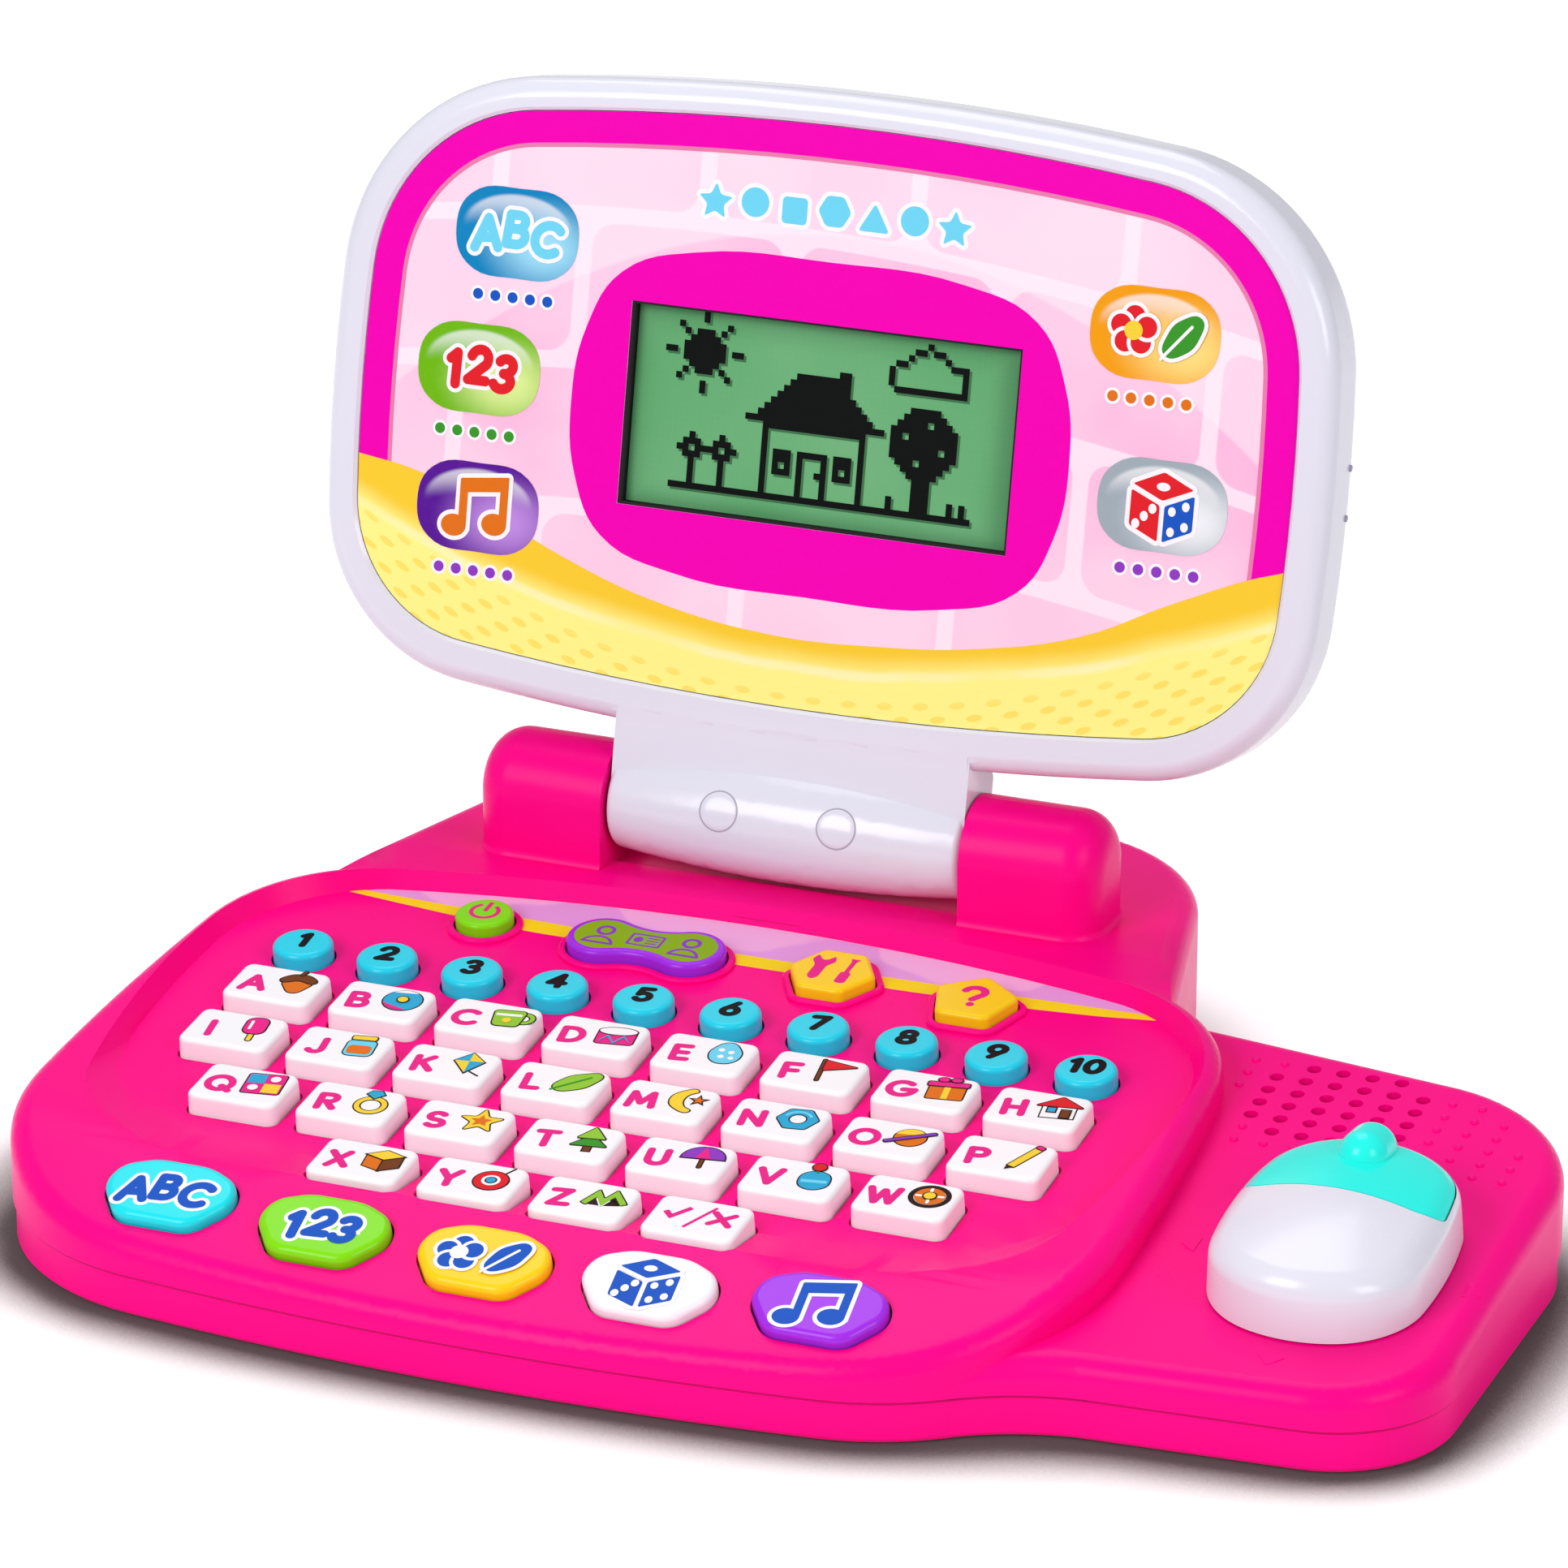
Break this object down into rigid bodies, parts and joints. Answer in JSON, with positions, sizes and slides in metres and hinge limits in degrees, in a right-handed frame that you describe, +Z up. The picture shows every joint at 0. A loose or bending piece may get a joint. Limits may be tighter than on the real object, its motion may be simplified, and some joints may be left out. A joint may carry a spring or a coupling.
{
  "type": "toy laptop computer",
  "caption": "Toy laptop with a hinged lid holding a small display, a tray of letter and number keys, mode buttons, a carry handle and a side platform with a sliding mouse.",
  "frame": {"origin": "on the floor below the middle of the first row of letter keys, midway across the main housing", "axes": "+X to the user's right, +Y to the back, +Z up"},
  "size_m": [0.3035, 0.2312, 0.2041],
  "materials": {
    "pink_housing": "smooth moulded satin gloss",
    "white_lid": "glossy",
    "printed_panel": "glossy print",
    "display": "semi-gloss",
    "key_white": "satin gloss",
    "key_blue": "satin gloss",
    "button_cyan": "satin gloss",
    "button_green": "satin gloss",
    "button_orange": "satin gloss",
    "button_white": "satin gloss",
    "button_purple": "satin gloss",
    "mouse_white": "glossy",
    "mouse_turquoise": "glossy",
    "white_inner": "matt",
    "board": "solder resist",
    "membrane": "matt silicone",
    "battery_can": "foil wrap",
    "black_plastic": "matt"
  },
  "bodies": {
    "base": {"base_top_cover": "pink_housing", "base_bottom_cover": "pink_housing", "battery_door": "pink_housing", "batteries": "battery_can", "circuit_board": "board", "keypad_membrane": "membrane", "speaker": "black_plastic"},
    "lid": {"lid_front_frame": "white_lid", "lid_rear_shell": "white_lid", "screen_panel": "printed_panel", "lcd_display": "display"},
    "mouse_carriage": {"mouse_carriage": "white_inner"},
    "mouse": {"mouse_shell": "mouse_white"},
    "mouse_button": {"mouse_button": "mouse_turquoise"},
    "mode_button_letters": {"mode_button_letters": "button_cyan"},
    "mode_button_numbers": {"mode_button_numbers": "button_green"},
    "mode_button_nature": {"mode_button_nature": "button_orange"},
    "mode_button_games": {"mode_button_games": "button_white"},
    "mode_button_music": {"mode_button_music": "button_purple"},
    "power_button": {"power_button": "button_green"},
    "player_button": {"player_button": "button_purple"},
    "tools_button": {"tools_button": "button_orange"},
    "help_button": {"help_button": "button_orange"},
    "number_key_1": {"number_key_1": "key_blue"},
    "number_key_2": {"number_key_2": "key_blue"},
    "number_key_3": {"number_key_3": "key_blue"},
    "number_key_4": {"number_key_4": "key_blue"},
    "number_key_5": {"number_key_5": "key_blue"},
    "number_key_6": {"number_key_6": "key_blue"},
    "number_key_7": {"number_key_7": "key_blue"},
    "number_key_8": {"number_key_8": "key_blue"},
    "number_key_9": {"number_key_9": "key_blue"},
    "number_key_10": {"number_key_10": "key_blue"},
    "key_a": {"key_a": "key_white"},
    "key_b": {"key_b": "key_white"},
    "key_c": {"key_c": "key_white"},
    "key_d": {"key_d": "key_white"},
    "key_e": {"key_e": "key_white"},
    "key_f": {"key_f": "key_white"},
    "key_g": {"key_g": "key_white"},
    "key_h": {"key_h": "key_white"},
    "key_i": {"key_i": "key_white"},
    "key_j": {"key_j": "key_white"},
    "key_k": {"key_k": "key_white"},
    "key_l": {"key_l": "key_white"},
    "key_m": {"key_m": "key_white"},
    "key_n": {"key_n": "key_white"},
    "key_o": {"key_o": "key_white"},
    "key_p": {"key_p": "key_white"},
    "key_q": {"key_q": "key_white"},
    "key_r": {"key_r": "key_white"},
    "key_s": {"key_s": "key_white"},
    "key_t": {"key_t": "key_white"},
    "key_u": {"key_u": "key_white"},
    "key_v": {"key_v": "key_white"},
    "key_w": {"key_w": "key_white"},
    "key_x": {"key_x": "key_white"},
    "key_y": {"key_y": "key_white"},
    "key_z": {"key_z": "key_white"},
    "key_symbol": {"key_symbol": "key_white"}
  },
  "joints": [
    {"name": "lid_hinge", "type": "hinge", "parent": "base", "child": "lid", "pos_m": [0, 0.0795, 0.052], "axis": [1, 0, 0], "range_deg": [0, 108.2]},
    {"name": "mouse_slide_across", "type": "slide", "parent": "base", "child": "mouse_carriage", "axis": [1, 0, 0], "range_m": [-0.0035, 0.0035], "stiffness_N_per_m": 120},
    {"name": "mouse_slide_deep", "type": "slide", "parent": "mouse_carriage", "child": "mouse", "axis": [0, 0.9945, 0.1045], "range_m": [-0.0035, 0.0035], "stiffness_N_per_m": 120},
    {"name": "mouse_button_press", "type": "slide", "parent": "mouse", "child": "mouse_button", "axis": [0, 0.1045, -0.9945], "range_m": [0, 0.0012], "stiffness_N_per_m": 250, "springref_m": -0.0008},
    {"name": "mode_button_letters_press", "type": "slide", "parent": "base", "child": "mode_button_letters", "axis": [0, 0.3173, -0.9483], "range_m": [0, 0.0016], "stiffness_N_per_m": 200, "springref_m": -0.0006},
    {"name": "mode_button_numbers_press", "type": "slide", "parent": "base", "child": "mode_button_numbers", "axis": [0, 0.3173, -0.9483], "range_m": [0, 0.0016], "stiffness_N_per_m": 200, "springref_m": -0.0006},
    {"name": "mode_button_nature_press", "type": "slide", "parent": "base", "child": "mode_button_nature", "axis": [0, 0.3173, -0.9483], "range_m": [0, 0.0016], "stiffness_N_per_m": 200, "springref_m": -0.0006},
    {"name": "mode_button_games_press", "type": "slide", "parent": "base", "child": "mode_button_games", "axis": [0, 0.3173, -0.9483], "range_m": [0, 0.0016], "stiffness_N_per_m": 200, "springref_m": -0.0006},
    {"name": "mode_button_music_press", "type": "slide", "parent": "base", "child": "mode_button_music", "axis": [0, 0.3173, -0.9483], "range_m": [0, 0.0016], "stiffness_N_per_m": 200, "springref_m": -0.0006},
    {"name": "power_button_press", "type": "slide", "parent": "base", "child": "power_button", "axis": [0, 0.1045, -0.9945], "range_m": [0, 0.0016], "stiffness_N_per_m": 200, "springref_m": -0.0006},
    {"name": "player_button_press", "type": "slide", "parent": "base", "child": "player_button", "axis": [0, 0.1045, -0.9945], "range_m": [0, 0.0016], "stiffness_N_per_m": 200, "springref_m": -0.0006},
    {"name": "tools_button_press", "type": "slide", "parent": "base", "child": "tools_button", "axis": [0, 0.1045, -0.9945], "range_m": [0, 0.0016], "stiffness_N_per_m": 200, "springref_m": -0.0006},
    {"name": "help_button_press", "type": "slide", "parent": "base", "child": "help_button", "axis": [0, 0.1045, -0.9945], "range_m": [0, 0.0016], "stiffness_N_per_m": 200, "springref_m": -0.0006},
    {"name": "number_key_1_press", "type": "slide", "parent": "base", "child": "number_key_1", "axis": [0, 0.1045, -0.9945], "range_m": [0, 0.0016], "stiffness_N_per_m": 200, "springref_m": -0.0006},
    {"name": "number_key_2_press", "type": "slide", "parent": "base", "child": "number_key_2", "axis": [0, 0.1045, -0.9945], "range_m": [0, 0.0016], "stiffness_N_per_m": 200, "springref_m": -0.0006},
    {"name": "number_key_3_press", "type": "slide", "parent": "base", "child": "number_key_3", "axis": [0, 0.1045, -0.9945], "range_m": [0, 0.0016], "stiffness_N_per_m": 200, "springref_m": -0.0006},
    {"name": "number_key_4_press", "type": "slide", "parent": "base", "child": "number_key_4", "axis": [0, 0.1045, -0.9945], "range_m": [0, 0.0016], "stiffness_N_per_m": 200, "springref_m": -0.0006},
    {"name": "number_key_5_press", "type": "slide", "parent": "base", "child": "number_key_5", "axis": [0, 0.1045, -0.9945], "range_m": [0, 0.0016], "stiffness_N_per_m": 200, "springref_m": -0.0006},
    {"name": "number_key_6_press", "type": "slide", "parent": "base", "child": "number_key_6", "axis": [0, 0.1045, -0.9945], "range_m": [0, 0.0016], "stiffness_N_per_m": 200, "springref_m": -0.0006},
    {"name": "number_key_7_press", "type": "slide", "parent": "base", "child": "number_key_7", "axis": [0, 0.1045, -0.9945], "range_m": [0, 0.0016], "stiffness_N_per_m": 200, "springref_m": -0.0006},
    {"name": "number_key_8_press", "type": "slide", "parent": "base", "child": "number_key_8", "axis": [0, 0.1045, -0.9945], "range_m": [0, 0.0016], "stiffness_N_per_m": 200, "springref_m": -0.0006},
    {"name": "number_key_9_press", "type": "slide", "parent": "base", "child": "number_key_9", "axis": [0, 0.1045, -0.9945], "range_m": [0, 0.0016], "stiffness_N_per_m": 200, "springref_m": -0.0006},
    {"name": "number_key_10_press", "type": "slide", "parent": "base", "child": "number_key_10", "axis": [0, 0.1045, -0.9945], "range_m": [0, 0.0016], "stiffness_N_per_m": 200, "springref_m": -0.0006},
    {"name": "key_a_press", "type": "slide", "parent": "base", "child": "key_a", "axis": [0, 0.1045, -0.9945], "range_m": [0, 0.0016], "stiffness_N_per_m": 200, "springref_m": -0.0006},
    {"name": "key_b_press", "type": "slide", "parent": "base", "child": "key_b", "axis": [0, 0.1045, -0.9945], "range_m": [0, 0.0016], "stiffness_N_per_m": 200, "springref_m": -0.0006},
    {"name": "key_c_press", "type": "slide", "parent": "base", "child": "key_c", "axis": [0, 0.1045, -0.9945], "range_m": [0, 0.0016], "stiffness_N_per_m": 200, "springref_m": -0.0006},
    {"name": "key_d_press", "type": "slide", "parent": "base", "child": "key_d", "axis": [0, 0.1045, -0.9945], "range_m": [0, 0.0016], "stiffness_N_per_m": 200, "springref_m": -0.0006},
    {"name": "key_e_press", "type": "slide", "parent": "base", "child": "key_e", "axis": [0, 0.1045, -0.9945], "range_m": [0, 0.0016], "stiffness_N_per_m": 200, "springref_m": -0.0006},
    {"name": "key_f_press", "type": "slide", "parent": "base", "child": "key_f", "axis": [0, 0.1045, -0.9945], "range_m": [0, 0.0016], "stiffness_N_per_m": 200, "springref_m": -0.0006},
    {"name": "key_g_press", "type": "slide", "parent": "base", "child": "key_g", "axis": [0, 0.1045, -0.9945], "range_m": [0, 0.0016], "stiffness_N_per_m": 200, "springref_m": -0.0006},
    {"name": "key_h_press", "type": "slide", "parent": "base", "child": "key_h", "axis": [0, 0.1045, -0.9945], "range_m": [0, 0.0016], "stiffness_N_per_m": 200, "springref_m": -0.0006},
    {"name": "key_i_press", "type": "slide", "parent": "base", "child": "key_i", "axis": [0, 0.1045, -0.9945], "range_m": [0, 0.0016], "stiffness_N_per_m": 200, "springref_m": -0.0006},
    {"name": "key_j_press", "type": "slide", "parent": "base", "child": "key_j", "axis": [0, 0.1045, -0.9945], "range_m": [0, 0.0016], "stiffness_N_per_m": 200, "springref_m": -0.0006},
    {"name": "key_k_press", "type": "slide", "parent": "base", "child": "key_k", "axis": [0, 0.1045, -0.9945], "range_m": [0, 0.0016], "stiffness_N_per_m": 200, "springref_m": -0.0006},
    {"name": "key_l_press", "type": "slide", "parent": "base", "child": "key_l", "axis": [0, 0.1045, -0.9945], "range_m": [0, 0.0016], "stiffness_N_per_m": 200, "springref_m": -0.0006},
    {"name": "key_m_press", "type": "slide", "parent": "base", "child": "key_m", "axis": [0, 0.1045, -0.9945], "range_m": [0, 0.0016], "stiffness_N_per_m": 200, "springref_m": -0.0006},
    {"name": "key_n_press", "type": "slide", "parent": "base", "child": "key_n", "axis": [0, 0.1045, -0.9945], "range_m": [0, 0.0016], "stiffness_N_per_m": 200, "springref_m": -0.0006},
    {"name": "key_o_press", "type": "slide", "parent": "base", "child": "key_o", "axis": [0, 0.1045, -0.9945], "range_m": [0, 0.0016], "stiffness_N_per_m": 200, "springref_m": -0.0006},
    {"name": "key_p_press", "type": "slide", "parent": "base", "child": "key_p", "axis": [0, 0.1045, -0.9945], "range_m": [0, 0.0016], "stiffness_N_per_m": 200, "springref_m": -0.0006},
    {"name": "key_q_press", "type": "slide", "parent": "base", "child": "key_q", "axis": [0, 0.1045, -0.9945], "range_m": [0, 0.0016], "stiffness_N_per_m": 200, "springref_m": -0.0006},
    {"name": "key_r_press", "type": "slide", "parent": "base", "child": "key_r", "axis": [0, 0.1045, -0.9945], "range_m": [0, 0.0016], "stiffness_N_per_m": 200, "springref_m": -0.0006},
    {"name": "key_s_press", "type": "slide", "parent": "base", "child": "key_s", "axis": [0, 0.1045, -0.9945], "range_m": [0, 0.0016], "stiffness_N_per_m": 200, "springref_m": -0.0006},
    {"name": "key_t_press", "type": "slide", "parent": "base", "child": "key_t", "axis": [0, 0.1045, -0.9945], "range_m": [0, 0.0016], "stiffness_N_per_m": 200, "springref_m": -0.0006},
    {"name": "key_u_press", "type": "slide", "parent": "base", "child": "key_u", "axis": [0, 0.1045, -0.9945], "range_m": [0, 0.0016], "stiffness_N_per_m": 200, "springref_m": -0.0006},
    {"name": "key_v_press", "type": "slide", "parent": "base", "child": "key_v", "axis": [0, 0.1045, -0.9945], "range_m": [0, 0.0016], "stiffness_N_per_m": 200, "springref_m": -0.0006},
    {"name": "key_w_press", "type": "slide", "parent": "base", "child": "key_w", "axis": [0, 0.1045, -0.9945], "range_m": [0, 0.0016], "stiffness_N_per_m": 200, "springref_m": -0.0006},
    {"name": "key_x_press", "type": "slide", "parent": "base", "child": "key_x", "axis": [0, 0.1045, -0.9945], "range_m": [0, 0.0016], "stiffness_N_per_m": 200, "springref_m": -0.0006},
    {"name": "key_y_press", "type": "slide", "parent": "base", "child": "key_y", "axis": [0, 0.1045, -0.9945], "range_m": [0, 0.0016], "stiffness_N_per_m": 200, "springref_m": -0.0006},
    {"name": "key_z_press", "type": "slide", "parent": "base", "child": "key_z", "axis": [0, 0.1045, -0.9945], "range_m": [0, 0.0016], "stiffness_N_per_m": 200, "springref_m": -0.0006},
    {"name": "key_symbol_press", "type": "slide", "parent": "base", "child": "key_symbol", "axis": [0, 0.1045, -0.9945], "range_m": [0, 0.0016], "stiffness_N_per_m": 200, "springref_m": -0.0006}
  ]
}
